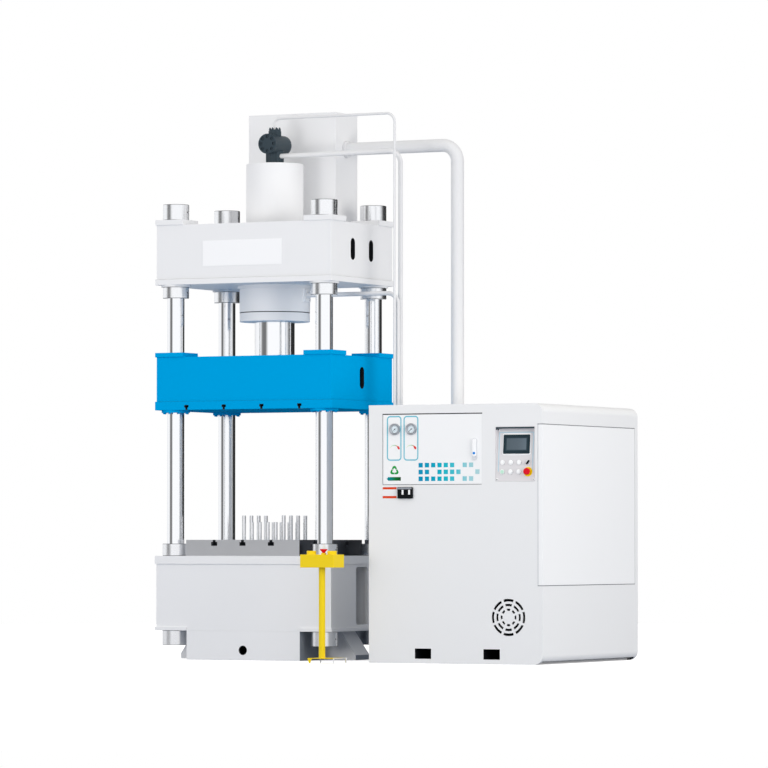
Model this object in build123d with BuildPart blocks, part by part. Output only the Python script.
from build123d import *
import os

os.makedirs("parts", exist_ok=True)

# Press outline and columns
FRAME_WIDTH = 1352.0
FRAME_DEPTH = 910.0
PANEL_INSET = 8.0
PLATE_WALL = 25.0
COLUMN_DIAMETER = 117.0
COLUMN_SIDE_MARGIN = 107.0
COLUMN_FRONT_MARGIN = 98.0
COLUMN_PITCH_X = FRAME_WIDTH - 2 * COLUMN_SIDE_MARGIN
COLUMN_PITCH_Y = FRAME_DEPTH - 2 * COLUMN_FRONT_MARGIN
COLUMN_FIT = 0.1

# Press levels from the floor up
BASE_SETBACK = 243.0
BASE_WIDTH = FRAME_WIDTH - 2 * BASE_SETBACK
BASE_HEIGHT = 195.0
BED_BODY = 448.0
BED_PLATE = 55.0
TABLE_THICKNESS = 108.0
DAYLIGHT = 876.0
SLIDE_PLATE = 58.0
SLIDE_BODY = 301.0
SLIDE_PAD = 30.0
CROWN_GAP = 459.0
CROWN_PLATE = 38.0
CROWN_BODY = 368.0
CROWN_PAD = 36.0
PAD_SIZE = 214.0

BED_TOP = BASE_HEIGHT + BED_BODY + BED_PLATE
TABLE_TOP = BED_TOP + TABLE_THICKNESS
SLIDE_BOTTOM = TABLE_TOP + DAYLIGHT
SLIDE_DECK = SLIDE_BOTTOM + SLIDE_PLATE + SLIDE_BODY
SLIDE_TOP = SLIDE_DECK + SLIDE_PAD
CROWN_BOTTOM = SLIDE_TOP + CROWN_GAP
CROWN_DECK = CROWN_BOTTOM + CROWN_PLATE + CROWN_BODY
CROWN_TOP = CROWN_DECK + CROWN_PAD

# Nuts on the columns
NUT_DIAMETER = 178.0
NUT_TOP_HEIGHT = 106.0
NUT_CROWN_HEIGHT = 77.0
NUT_BED_HEIGHT = 82.0
NUT_FOOT_HEIGHT = 100.0
SEAT_RING_DIAMETER = 200.0
SEAT_RING_HEIGHT = 12.0
SPANNER_HOLE = 12.0
COLUMN_RECESS = 8.0

# Table slots
TABLE_SIDE_GAP = 243.0
TABLE_FRONT_GAP = 2.0
TABLE_WIDTH = FRAME_WIDTH - 2 * TABLE_SIDE_GAP
TABLE_DEPTH = FRAME_DEPTH - 2 * TABLE_FRONT_GAP
TABLE_SLOT_X = 217.0
TABLE_SLOT_Y = 232.0
TABLE_SLOT_NECK = 22.0
TABLE_SLOT_HEAD = 46.0
TABLE_SLOT_LIP = 15.0
TABLE_SLOT_HEAD_HEIGHT = 25.0

# Cushion
PIN_DIAMETER = 27.0
PIN_FIT = 0.1
PIN_PITCH_X = 61.0
PIN_PITCH_Y = 103.0
PIN_TALL = 164.0
PIN_SHORT = 119.0
CUSHION_TRAVEL = 158.0
CUSHION_PLATE_WIDTH = 380.0
CUSHION_PLATE_DEPTH = 390.0
CUSHION_PLATE_THICKNESS = 45.0
CUSHION_BORE = 180.0
CUSHION_ROD = 120.0
CUSHION_WALL = 25.0
WELL_WIDTH = 430.0
WELL_DEPTH = 440.0

# Main ram
BARREL_DIAMETER = 390.0
COLLAR_DIAMETER = 508.0
COLLAR_HEIGHT = 22.0
BODY_DIAMETER = 479.0
BODY_HEIGHT = 159.0
BORE_DIAMETER = 320.0
BARREL_TOP = 3358.0
BARREL_CAP = 80.0
ROD_DIAMETER = 271.0
RUNNING_FIT = 0.05
PISTON_HEIGHT = 130.0
STROKE_UP = 160.0
GLAND_HEIGHT = 58.0
GLAND_GROOVE = 6.0

# Guide bushes
BUSH_WALL = 16.0
RETAINER_DIAMETER = 192.0
RETAINER_THICKNESS = 16.0

# Slide slots
SLIDE_SLOT_X = 288.0
SLIDE_SLOT_NECK = 16.0
SLIDE_SLOT_HEAD = 31.0
SLIDE_SLOT_LIP = 17.0
SLIDE_SLOT_HEAD_HEIGHT = 16.0
LIFT_SLOT_WIDTH = 62.0
LIFT_SLOT_HEIGHT = 146.0

# Overhead tank and valve
TANK_WIDTH = 674.0
TANK_DEPTH = 323.0
TANK_HEIGHT = 786.0
TANK_GAP = 51.0
TANK_FRONT = BARREL_DIAMETER / 2 + TANK_GAP
TANK_WALL = 6.0
STEM_DIAMETER = 127.0
STEM_HEIGHT = 70.0
DRUM_DIAMETER = 136.0
DRUM_FRONT = -112.0
DRUM_BACK = 113.0
STUB_DIAMETER = 92.0
STUB_HEIGHT = 34.0

# Power unit cabinet
CABINET_GAP = 380.0
CABINET_LEFT = FRAME_WIDTH / 2 + CABINET_GAP
CABINET_FRONT = -650.0
CABINET_WIDTH = 1260.0
CABINET_DEPTH = 1500.0
CABINET_HEIGHT = 1689.0
CABINET_ROUND = 60.0
CABINET_WALL = 8.0
CABINET_FLOOR = 118.0
FORK_WIDTH = 118.0
FORK_HEIGHT = 67.0
FORK_BOTTOM = 30.0
FORK_LEFT = 397.5
FORK_RIGHT_MARGIN = 365.0
FORK_RIGHT = CABINET_WIDTH - FORK_RIGHT_MARGIN
FORK_TUBE_WALL = 6.0

# Control panel
PANEL_WIDTH = 285.0
PANEL_RIGHT_MARGIN = 53.0
PANEL_LEFT = CABINET_WIDTH - PANEL_RIGHT_MARGIN - PANEL_WIDTH
PANEL_BOTTOM = 1184.0
PANEL_HEIGHT = 356.0
PANEL_RECESS = 34.0
PANEL_SHEET = 4.0

# Gauge door
DOOR_LEFT = 100.0
DOOR_BOTTOM = 1165.0
DOOR_TO_PANEL = 94.0
DOOR_WIDTH = PANEL_LEFT - DOOR_TO_PANEL - DOOR_LEFT
DOOR_HEIGHT = 464.0
DOOR_GAP = 4.0
DOOR_RIM = 20.0
DOOR_SHEET = 4.0
HINGE_SETBACK = 8.0
HINGE_PIN = 8.0
HINGE_FIT = 0.05

# Oil tank in the cabinet
OIL_LEFT = 60.0
OIL_RIGHT_GAP = 100.0
OIL_WIDTH = CABINET_WIDTH - OIL_LEFT - OIL_RIGHT_GAP
OIL_FRONT = 610.0
OIL_BACK_GAP = 50.0
OIL_DEPTH = CABINET_DEPTH - OIL_FRONT - OIL_BACK_GAP
OIL_HEIGHT = 602.0
OIL_WALL = 6.0
OIL_LID = 10.0
OIL_LID_TOP = CABINET_FLOOR + OIL_HEIGHT + OIL_LID

# Two-hand pedestal
PEDESTAL_X = 868.0
PEDESTAL_Y = -952.0
BOX_WIDTH = 249.0
BOX_DEPTH = 150.0
BOX_HEIGHT = 85.0
BOX_TOP = 710.0

# Shared alignments and spots
ON_FLOOR = (Align.CENTER, Align.CENTER, Align.MIN)
CORNER = (Align.MIN, Align.MIN, Align.MIN)
COLUMN_SPOTS = [(sx * COLUMN_PITCH_X / 2, sy * COLUMN_PITCH_Y / 2) for sx in (-1, 1) for sy in (-1, 1)]
BODY_WIDTH = FRAME_WIDTH - 2 * PANEL_INSET
BODY_DEPTH = FRAME_DEPTH - 2 * PANEL_INSET
COLUMN_HOLE = COLUMN_DIAMETER + 2 * COLUMN_FIT
PIN_SPOTS = [(PIN_PITCH_X * (i - 2.5), PIN_PITCH_Y * (j - 1.5)) for i in range(6) for j in range(4)]

# Bed weldments: a base with wedge feet, and the bed box on it
BED_FLANGE = 24.0
SLEEVE_CLEAR = 12.0
COLUMN_SLEEVE = 2 * (COLUMN_FRONT_MARGIN - PANEL_INSET - SLEEVE_CLEAR)
WEB_LENGTH = 300.0
WEB_SHEET = 20.0
FOOT_SETBACK = 3.0
FOOT_REACH = BASE_SETBACK - FOOT_SETBACK
FOOT_WIDTH = 200.0
FOOT_TOE = 34.0
FOOT_TOP_REACH = 128.0
WINDOW_WIDTH = 170.0
WINDOW_BOTTOM = 42.0
WINDOW_HEIGHT = 387.0
WINDOW_ROUND = 22.0
BASE_HOLE = 62.0
BASE_HOLE_HEIGHT = 66.0

with BuildPart() as bed_base:
    Box(BASE_WIDTH, BODY_DEPTH, BASE_HEIGHT, align=ON_FLOOR)
    with Locations((0, 0, PLATE_WALL)):
        Box(BASE_WIDTH - 2 * PLATE_WALL, BODY_DEPTH - 2 * PLATE_WALL, BASE_HEIGHT, align=ON_FLOOR,
            mode=Mode.SUBTRACT)
    for side in (-1, 1):
        foot_plane = Plane(origin=(0, -FOOT_WIDTH / 2, 0), x_dir=(side, 0, 0), z_dir=(0, -side, 0))
        with BuildSketch(foot_plane):
            with BuildLine():
                Polyline(
                    (BASE_WIDTH / 2 - 1, 0), (BASE_WIDTH / 2 + FOOT_REACH, 0),
                    (BASE_WIDTH / 2 + FOOT_REACH, FOOT_TOE), (BASE_WIDTH / 2 + FOOT_TOP_REACH, BASE_HEIGHT),
                    (BASE_WIDTH / 2 - 1, BASE_HEIGHT), close=True)
            make_face()
        extrude(amount=-side * FOOT_WIDTH)
    with Locations(Location((0, 0, BASE_HOLE_HEIGHT), (90, 0, 0))):
        Cylinder(BASE_HOLE / 2, BODY_DEPTH + 10, mode=Mode.SUBTRACT)
bed_base.part.label = "bed_base"
export_step(bed_base.part, "parts/bed_base.step")

WINDOW_CENTRE_Z = BASE_HEIGHT + WINDOW_BOTTOM + WINDOW_HEIGHT / 2
FLANGE_TOP = BASE_HEIGHT + BED_FLANGE

with BuildPart() as bed_frame:
    with Locations((0, 0, FLANGE_TOP)):
        Box(BODY_WIDTH, BODY_DEPTH, BED_BODY - BED_FLANGE, align=ON_FLOOR)
        Box(BODY_WIDTH - 2 * PLATE_WALL, BODY_DEPTH - 2 * PLATE_WALL, BED_BODY - BED_FLANGE,
            align=ON_FLOOR, mode=Mode.SUBTRACT)
    # lower flange, proud beside the base and open over its inside, and the top plate
    for side in (-1, 1):
        with Locations((side * (FRAME_WIDTH + BASE_WIDTH) / 4, 0, BASE_HEIGHT)):
            Box(BASE_SETBACK, FRAME_DEPTH, BED_FLANGE, align=ON_FLOOR)
    with Locations((0, 0, BASE_HEIGHT)):
        Box(BODY_WIDTH, BODY_DEPTH, BED_FLANGE, align=ON_FLOOR)
        Box(BASE_WIDTH - 2 * PLATE_WALL, BODY_DEPTH - 2 * PLATE_WALL, BED_FLANGE, align=ON_FLOOR,
            mode=Mode.SUBTRACT)
    with Locations((0, 0, BASE_HEIGHT + BED_BODY)):
        Box(FRAME_WIDTH, FRAME_DEPTH, BED_PLATE, align=ON_FLOOR)
    # webs beside each side window and sleeves round the columns
    for side in (-1, 1):
        web_x = side * (BODY_WIDTH / 2 - PLATE_WALL - WEB_LENGTH / 2)
        with Locations(*[(web_x, sy * (WINDOW_WIDTH / 2 + WEB_SHEET), FLANGE_TOP) for sy in (-1, 1)]):
            Box(WEB_LENGTH, WEB_SHEET, BED_BODY - BED_FLANGE, align=ON_FLOOR)
    with Locations(*[(x, y, FLANGE_TOP) for x, y in COLUMN_SPOTS]):
        Cylinder(COLUMN_SLEEVE / 2, BED_BODY - BED_FLANGE, align=ON_FLOOR)
    # column bores, cushion well and side windows
    with Locations(*[(x, y, BASE_HEIGHT - 1) for x, y in COLUMN_SPOTS]):
        Cylinder(COLUMN_HOLE / 2, BED_BODY + BED_PLATE + 2, align=ON_FLOOR, mode=Mode.SUBTRACT)
    with Locations((0, 0, BASE_HEIGHT + BED_BODY - 1)):
        Box(WELL_WIDTH, WELL_DEPTH, BED_PLATE + 2, align=ON_FLOOR, mode=Mode.SUBTRACT)
    with BuildSketch(Plane.YZ.offset(-BODY_WIDTH / 2 - 5)):
        with Locations((0, WINDOW_CENTRE_Z)):
            RectangleRounded(WINDOW_WIDTH, WINDOW_HEIGHT, WINDOW_ROUND)
    extrude(amount=BODY_WIDTH + 10, mode=Mode.SUBTRACT)
bed_frame.part.label = "bed_frame"
export_step(bed_frame.part, "parts/bed_frame.step")

# Work table with T-slots and pin holes
SLOT_STOP = 190.0

with BuildPart() as worktable:
    with Locations((0, 0, BED_TOP)):
        Box(TABLE_WIDTH, TABLE_DEPTH, TABLE_THICKNESS, align=ON_FLOOR)
    head_z = TABLE_TOP - TABLE_SLOT_LIP - TABLE_SLOT_HEAD_HEIGHT
    for side in (-1, 1):
        with Locations((side * TABLE_SLOT_X, 0, head_z)):
            Box(TABLE_SLOT_NECK, TABLE_DEPTH + 2, 60, align=ON_FLOOR, mode=Mode.SUBTRACT)
            Box(TABLE_SLOT_HEAD, TABLE_DEPTH + 2, TABLE_SLOT_HEAD_HEIGHT, align=ON_FLOOR, mode=Mode.SUBTRACT)
        with Locations((0, side * TABLE_SLOT_Y, head_z)):
            Box(TABLE_WIDTH + 2, TABLE_SLOT_NECK, 60, align=ON_FLOOR, mode=Mode.SUBTRACT)
            Box(TABLE_WIDTH + 2, TABLE_SLOT_HEAD, TABLE_SLOT_HEAD_HEIGHT, align=ON_FLOOR, mode=Mode.SUBTRACT)
        short = TABLE_DEPTH / 2 - SLOT_STOP
        with Locations((0, side * (SLOT_STOP + short / 2 + 1), head_z)):
            Box(TABLE_SLOT_NECK, short + 2, 60, align=ON_FLOOR, mode=Mode.SUBTRACT)
            Box(TABLE_SLOT_HEAD, short + 2, TABLE_SLOT_HEAD_HEIGHT, align=ON_FLOOR, mode=Mode.SUBTRACT)
    with Locations(*[(x, y, BED_TOP - 1) for x, y in PIN_SPOTS]):
        Cylinder(PIN_DIAMETER / 2 + PIN_FIT, TABLE_THICKNESS + 2, align=ON_FLOOR, mode=Mode.SUBTRACT)
worktable.part.label = "worktable"
export_step(worktable.part, "parts/worktable.step")

# Four tie columns
COLUMN_FOOT = BASE_HEIGHT - NUT_FOOT_HEIGHT + COLUMN_RECESS
COLUMN_HEAD = CROWN_TOP + NUT_TOP_HEIGHT - COLUMN_RECESS

with BuildPart() as columns:
    with Locations(*[(x, y, COLUMN_FOOT) for x, y in COLUMN_SPOTS]):
        Cylinder(COLUMN_DIAMETER / 2, COLUMN_HEAD - COLUMN_FOOT, align=ON_FLOOR)
columns.part.label = "columns"
export_step(columns.part, "parts/columns.step")

# Column nuts above and below the crown, on the bed and below it
UNDER_CROWN = CROWN_BOTTOM - SEAT_RING_HEIGHT - NUT_CROWN_HEIGHT
NUT_LEVELS = (
    (CROWN_TOP, NUT_TOP_HEIGHT), (UNDER_CROWN, NUT_CROWN_HEIGHT), (BED_TOP, NUT_BED_HEIGHT),
    (BASE_HEIGHT - NUT_FOOT_HEIGHT, NUT_FOOT_HEIGHT))
NUT_CHAMFER = 3.0
SPANNER_HOLE_DEPTH = 18.0

with BuildPart() as column_nuts:
    for x, y in COLUMN_SPOTS:
        for z, h in NUT_LEVELS:
            with Locations((x, y, z)):
                Cylinder(NUT_DIAMETER / 2, h, align=ON_FLOOR)
    chamfer(column_nuts.edges().filter_by(GeomType.CIRCLE), NUT_CHAMFER)
    for x, y in COLUMN_SPOTS:
        for z, h in NUT_LEVELS:
            with Locations((x, y, z - 1)):
                Cylinder(COLUMN_HOLE / 2, h + 2, align=ON_FLOOR, mode=Mode.SUBTRACT)
            for turn in range(4):
                with Locations(Location((x, y, z + h / 2), (0, 90, 90 * turn))):
                    with Locations((0, 0, NUT_DIAMETER / 2 - SPANNER_HOLE_DEPTH)):
                        Cylinder(SPANNER_HOLE / 2, 2 * SPANNER_HOLE_DEPTH, align=ON_FLOOR, mode=Mode.SUBTRACT)
column_nuts.part.label = "column_nuts"
export_step(column_nuts.part, "parts/column_nuts.step")

# Seat rings between the crown and the nuts below it
with BuildPart() as seat_rings:
    with Locations(*[(x, y, CROWN_BOTTOM - SEAT_RING_HEIGHT) for x, y in COLUMN_SPOTS]):
        Cylinder(SEAT_RING_DIAMETER / 2, SEAT_RING_HEIGHT, align=ON_FLOOR)
    with Locations(*[(x, y, CROWN_BOTTOM - SEAT_RING_HEIGHT - 1) for x, y in COLUMN_SPOTS]):
        Cylinder(COLUMN_HOLE / 2, SEAT_RING_HEIGHT + 2, align=ON_FLOOR, mode=Mode.SUBTRACT)
seat_rings.part.label = "seat_rings"
export_step(seat_rings.part, "parts/seat_rings.step")

# Crown weldment
CROWN_SLOT_PITCH = 266.0
CROWN_SLOT_HEIGHT = 227.0
CROWN_DECK_PLATE = 36.0
CROWN_SLEEVE_WALL = 40.0
CROWN_BORE_FIT = 1.0

with BuildPart() as crown:
    with Locations((0, 0, CROWN_BOTTOM)):
        Box(FRAME_WIDTH, FRAME_DEPTH, CROWN_PLATE, align=ON_FLOOR)
    with Locations((0, 0, CROWN_BOTTOM + CROWN_PLATE)):
        Box(BODY_WIDTH, BODY_DEPTH, CROWN_BODY, align=ON_FLOOR)
        Box(BODY_WIDTH - 2 * PLATE_WALL, BODY_DEPTH - 2 * PLATE_WALL, CROWN_BODY - CROWN_DECK_PLATE,
            align=ON_FLOOR, mode=Mode.SUBTRACT)
    with Locations(*[(sx * (FRAME_WIDTH - PAD_SIZE) / 2, sy * (FRAME_DEPTH - PAD_SIZE) / 2, CROWN_DECK)
                     for sx in (-1, 1) for sy in (-1, 1)]):
        Box(PAD_SIZE, PAD_SIZE, CROWN_PAD, align=ON_FLOOR)
    with Locations(*[(x, y, CROWN_BOTTOM + CROWN_PLATE) for x, y in COLUMN_SPOTS]):
        Cylinder(COLUMN_SLEEVE / 2, CROWN_BODY - CROWN_DECK_PLATE, align=ON_FLOOR)
    with Locations((0, 0, CROWN_BOTTOM + CROWN_PLATE)):
        Cylinder(BARREL_DIAMETER / 2 + CROWN_SLEEVE_WALL, CROWN_BODY - CROWN_DECK_PLATE, align=ON_FLOOR)
    with Locations(*[(x, y, CROWN_BOTTOM - 1) for x, y in COLUMN_SPOTS]):
        Cylinder(COLUMN_HOLE / 2, CROWN_TOP - CROWN_BOTTOM + 2, align=ON_FLOOR, mode=Mode.SUBTRACT)
    with Locations((0, 0, CROWN_BOTTOM - 1)):
        Cylinder(BARREL_DIAMETER / 2 + CROWN_BORE_FIT, CROWN_DECK - CROWN_BOTTOM + 2, align=ON_FLOOR,
                 mode=Mode.SUBTRACT)
    for side in (-1, 1):
        with BuildSketch(Plane.YZ.offset(side * (BODY_WIDTH / 2 - PLATE_WALL / 2))):
            with Locations(*[(sy * CROWN_SLOT_PITCH / 2, CROWN_BOTTOM + CROWN_SLOT_HEIGHT)
                             for sy in (-1, 1)]):
                SlotOverall(LIFT_SLOT_HEIGHT, LIFT_SLOT_WIDTH, rotation=90)
        extrude(amount=PLATE_WALL, both=True, mode=Mode.SUBTRACT)
crown.part.label = "crown"
export_step(crown.part, "parts/crown.step")

# Bare sign plate on the front of the crown
SIGN_WIDTH = 604.0
SIGN_HEIGHT = 172.0
SIGN_CENTRE = 206.0

with BuildPart() as sign_plate:
    with Locations((-8, -BODY_DEPTH / 2 - 1, CROWN_BOTTOM + SIGN_CENTRE)):
        Box(SIGN_WIDTH, 2, SIGN_HEIGHT)
sign_plate.part.label = "sign_plate"
export_step(sign_plate.part, "parts/sign_plate.step")

# Cylinder barrel
COLLAR_BOTTOM = CROWN_BOTTOM - COLLAR_HEIGHT
BODY_BOTTOM = COLLAR_BOTTOM - BODY_HEIGHT
BORE_TOP = BARREL_TOP - BARREL_CAP
PREFILL_BORE = 90.0

with BuildPart() as main_cylinder:
    with Locations((0, 0, BODY_BOTTOM)):
        Cylinder(BODY_DIAMETER / 2, BODY_HEIGHT, align=ON_FLOOR)
    with Locations((0, 0, COLLAR_BOTTOM)):
        Cylinder(COLLAR_DIAMETER / 2, COLLAR_HEIGHT, align=ON_FLOOR)
    with Locations((0, 0, CROWN_BOTTOM)):
        Cylinder(BARREL_DIAMETER / 2, BARREL_TOP - CROWN_BOTTOM, align=ON_FLOOR)
    chamfer(main_cylinder.edges().filter_by(GeomType.CIRCLE).sort_by(Axis.Z)[-1], 4)
    with Locations((0, 0, BODY_BOTTOM - 1)):
        Cylinder(BORE_DIAMETER / 2, BORE_TOP - BODY_BOTTOM + 1, align=ON_FLOOR, mode=Mode.SUBTRACT)
    with Locations((0, 0, BORE_TOP - 1)):
        Cylinder(PREFILL_BORE / 2, BARREL_CAP + 2, align=ON_FLOOR, mode=Mode.SUBTRACT)
main_cylinder.part.label = "main_cylinder"
export_step(main_cylinder.part, "parts/main_cylinder.step")

# Gland below the barrel
GLAND_TOP = BODY_BOTTOM - GLAND_GROOVE
SPIGOT_HEIGHT = 50.0
SPIGOT_FIT = 0.1
GLAND_POCKETS = 12
GLAND_POCKET = 30.0
GLAND_POCKET_DEPTH = 18.0
GLAND_SCREW_HEAD = 12.0

with BuildPart() as cylinder_gland:
    with Locations((0, 0, GLAND_TOP - GLAND_HEIGHT)):
        Cylinder(BODY_DIAMETER / 2 - 1, GLAND_HEIGHT, align=ON_FLOOR)
    with Locations((0, 0, GLAND_TOP)):
        Cylinder(BODY_DIAMETER / 2 - 8, GLAND_GROOVE, align=ON_FLOOR)
    with Locations((0, 0, BODY_BOTTOM)):
        Cylinder(BORE_DIAMETER / 2 - SPIGOT_FIT, SPIGOT_HEIGHT, align=ON_FLOOR)
    with Locations((0, 0, GLAND_TOP - GLAND_HEIGHT - 1)):
        Cylinder(ROD_DIAMETER / 2 + RUNNING_FIT, GLAND_HEIGHT + GLAND_GROOVE + SPIGOT_HEIGHT + 2,
                 align=ON_FLOOR, mode=Mode.SUBTRACT)
    with Locations((0, 0, GLAND_TOP - GLAND_HEIGHT)):
        with PolarLocations((BODY_DIAMETER + ROD_DIAMETER) / 4, GLAND_POCKETS):
            Cylinder(GLAND_POCKET / 2, GLAND_POCKET_DEPTH, align=ON_FLOOR, mode=Mode.SUBTRACT)
    with Locations((0, 0, GLAND_TOP - GLAND_HEIGHT + GLAND_POCKET_DEPTH - GLAND_SCREW_HEAD)):
        with PolarLocations((BODY_DIAMETER + ROD_DIAMETER) / 4, GLAND_POCKETS):
            Cylinder(GLAND_POCKET / 2 - 4, GLAND_SCREW_HEAD, align=ON_FLOOR)
cylinder_gland.part.label = "cylinder_gland"
export_step(cylinder_gland.part, "parts/cylinder_gland.step")

# Port block on the right of the barrel
PORT_SIZE = 92.0
PORT_PROUD = 11.0
PORT_CENTRE = CROWN_BOTTOM - 68.5
PORT_FACE = BODY_DIAMETER / 2 + PORT_PROUD

with BuildPart() as port_block:
    with Locations((PORT_FACE - 20, 0, PORT_CENTRE)):
        Box(40, PORT_SIZE, PORT_SIZE)
    with Locations((0, 0, PORT_CENTRE)):
        Cylinder(BODY_DIAMETER / 2, PORT_SIZE * 2, mode=Mode.SUBTRACT)
    with Locations(*[Location((PORT_FACE, sy * 32, PORT_CENTRE + sz * 32), (0, 90, 0))
                     for sy in (-1, 1) for sz in (-1, 1)]):
        Cylinder(8, 7, align=ON_FLOOR)
port_block.part.label = "port_block"
export_step(port_block.part, "parts/port_block.step")

# Piston and rod, one forging
PISTON_TOP = BORE_TOP - STROKE_UP - 8.0
ROD_SEAT = SLIDE_BOTTOM + 80.0

with BuildPart() as piston_rod:
    with Locations((0, 0, ROD_SEAT)):
        Cylinder(ROD_DIAMETER / 2, PISTON_TOP - ROD_SEAT, align=ON_FLOOR)
    with Locations((0, 0, PISTON_TOP - PISTON_HEIGHT)):
        Cylinder(BORE_DIAMETER / 2 - RUNNING_FIT, PISTON_HEIGHT, align=ON_FLOOR)
piston_rod.part.label = "piston_rod"
export_step(piston_rod.part, "parts/piston_rod.step")

# Slide beam
SLIDE_TOP_PLATE = 25.0
SLIDE_BOSS = 360.0
SLIDE_SLOT_CENTRE = 213.0
BUSH_DIAMETER = COLUMN_DIAMETER + 2 * RUNNING_FIT + 2 * BUSH_WALL
BUSH_SEAT_FIT = 0.02
GUIDE_SLEEVE = COLUMN_SLEEVE + SLEEVE_CLEAR

with BuildPart() as slide_beam:
    with Locations((0, 0, SLIDE_BOTTOM)):
        Box(FRAME_WIDTH, FRAME_DEPTH, SLIDE_PLATE, align=ON_FLOOR)
    with Locations((0, 0, SLIDE_BOTTOM + SLIDE_PLATE)):
        Box(BODY_WIDTH, BODY_DEPTH, SLIDE_BODY, align=ON_FLOOR)
        Box(BODY_WIDTH - 2 * PLATE_WALL, BODY_DEPTH - 2 * PLATE_WALL, SLIDE_BODY - SLIDE_TOP_PLATE,
            align=ON_FLOOR, mode=Mode.SUBTRACT)
        Cylinder(SLIDE_BOSS / 2, SLIDE_BODY - SLIDE_TOP_PLATE, align=ON_FLOOR)
    with Locations(*[(sx * (FRAME_WIDTH - PAD_SIZE) / 2, sy * (FRAME_DEPTH - PAD_SIZE) / 2, SLIDE_DECK)
                     for sx in (-1, 1) for sy in (-1, 1)]):
        Box(PAD_SIZE, PAD_SIZE, SLIDE_PAD, align=ON_FLOOR)
    with Locations(*[(x, y, SLIDE_BOTTOM + SLIDE_PLATE) for x, y in COLUMN_SPOTS]):
        Cylinder(GUIDE_SLEEVE / 2, SLIDE_BODY - SLIDE_TOP_PLATE, align=ON_FLOOR)
    with Locations(*[(x, y, SLIDE_BOTTOM - 1) for x, y in COLUMN_SPOTS]):
        Cylinder(BUSH_DIAMETER / 2 + BUSH_SEAT_FIT, SLIDE_TOP - SLIDE_BOTTOM + 2, align=ON_FLOOR,
                 mode=Mode.SUBTRACT)
    with Locations((0, 0, ROD_SEAT)):
        Cylinder(ROD_DIAMETER / 2 + RUNNING_FIT, SLIDE_DECK - ROD_SEAT + 1, align=ON_FLOOR,
                 mode=Mode.SUBTRACT)
    for place in (-1.5, -0.5, 0.5, 1.5):
        with Locations((place * SLIDE_SLOT_X, 0, SLIDE_BOTTOM - 1)):
            Box(SLIDE_SLOT_NECK, FRAME_DEPTH + 2, SLIDE_SLOT_LIP + 5, align=ON_FLOOR, mode=Mode.SUBTRACT)
        with Locations((place * SLIDE_SLOT_X, 0, SLIDE_BOTTOM + SLIDE_SLOT_LIP)):
            Box(SLIDE_SLOT_HEAD, FRAME_DEPTH + 2, SLIDE_SLOT_HEAD_HEIGHT, align=ON_FLOOR, mode=Mode.SUBTRACT)
    for side in (-1, 1):
        with BuildSketch(Plane.YZ.offset(side * (BODY_WIDTH / 2 - PLATE_WALL / 2))):
            with Locations((0, SLIDE_BOTTOM + SLIDE_SLOT_CENTRE)):
                SlotOverall(LIFT_SLOT_HEIGHT, LIFT_SLOT_WIDTH, rotation=90)
        extrude(amount=PLATE_WALL, both=True, mode=Mode.SUBTRACT)
slide_beam.part.label = "slide_beam"
export_step(slide_beam.part, "parts/slide_beam.step")

# Guide bushes in the slide
with BuildPart() as guide_bushes:
    with Locations(*[(x, y, SLIDE_BOTTOM) for x, y in COLUMN_SPOTS]):
        Cylinder(BUSH_DIAMETER / 2, SLIDE_TOP - SLIDE_BOTTOM, align=ON_FLOOR)
    with Locations(*[(x, y, SLIDE_BOTTOM - 1) for x, y in COLUMN_SPOTS]):
        Cylinder(COLUMN_DIAMETER / 2 + RUNNING_FIT, SLIDE_TOP - SLIDE_BOTTOM + 2, align=ON_FLOOR,
                 mode=Mode.SUBTRACT)
guide_bushes.part.label = "guide_bushes"
export_step(guide_bushes.part, "parts/guide_bushes.step")

# Retainer rings with screws, below the slide
RETAINER_FIT = 0.8
RETAINER_SCREWS = 8
RETAINER_SCREW_CIRCLE = 166.0
SCREW_HEAD = 16.0
SCREW_HEAD_HEIGHT = 9.0

with BuildPart() as bush_retainers:
    for x, y in COLUMN_SPOTS:
        with Locations((x, y, SLIDE_BOTTOM - RETAINER_THICKNESS)):
            Cylinder(RETAINER_DIAMETER / 2, RETAINER_THICKNESS, align=ON_FLOOR)
        with Locations((x, y, SLIDE_BOTTOM - RETAINER_THICKNESS - 1)):
            Cylinder(COLUMN_DIAMETER / 2 + RETAINER_FIT, RETAINER_THICKNESS + 2, align=ON_FLOOR,
                     mode=Mode.SUBTRACT)
        with Locations((x, y, SLIDE_BOTTOM - RETAINER_THICKNESS - SCREW_HEAD_HEIGHT)):
            with PolarLocations(RETAINER_SCREW_CIRCLE / 2, RETAINER_SCREWS):
                Cylinder(SCREW_HEAD / 2, SCREW_HEAD_HEIGHT, align=ON_FLOOR)
bush_retainers.part.label = "bush_retainers"
export_step(bush_retainers.part, "parts/bush_retainers.step")

# Prefill valve on top of the barrel
DRUM_RISE = 64.0
DRUM_CENTRE = BARREL_TOP + STEM_HEIGHT + DRUM_RISE
STEM_RIBS = 8
STEM_RIB = 24.0
DRUM_BOLT_CIRCLE = 98.0
DRUM_BOLT = 22.0
DRUM_BOLT_POCKET = 12.0
DRUM_BOLT_HEAD = 8.0
STUB_TOP = DRUM_CENTRE + DRUM_DIAMETER / 2 + STUB_HEIGHT
STUD_DIAMETER = 16.0
STUD_CIRCLE = 70.0
STUDS = 8
STUD_TIP = 14.0
PILOT_DIAMETER = 18.0
PILOT_Y = -35.0
PILOT_SEAT = STUB_TOP - 20.0
PRESSURE_DIAMETER = 33.0
PRESSURE_START = (48.0, -10.0, 3412.0)
PRESSURE_Y = 40.0
PRESSURE_Z = 3422.0
PIPE_GAP_X = CABINET_LEFT - 118.0
PRESSURE_AIM = Plane(
    origin=PRESSURE_START,
    z_dir=(PIPE_GAP_X - PRESSURE_START[0], PRESSURE_Y - PRESSURE_START[1], PRESSURE_Z - PRESSURE_START[2]))

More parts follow.
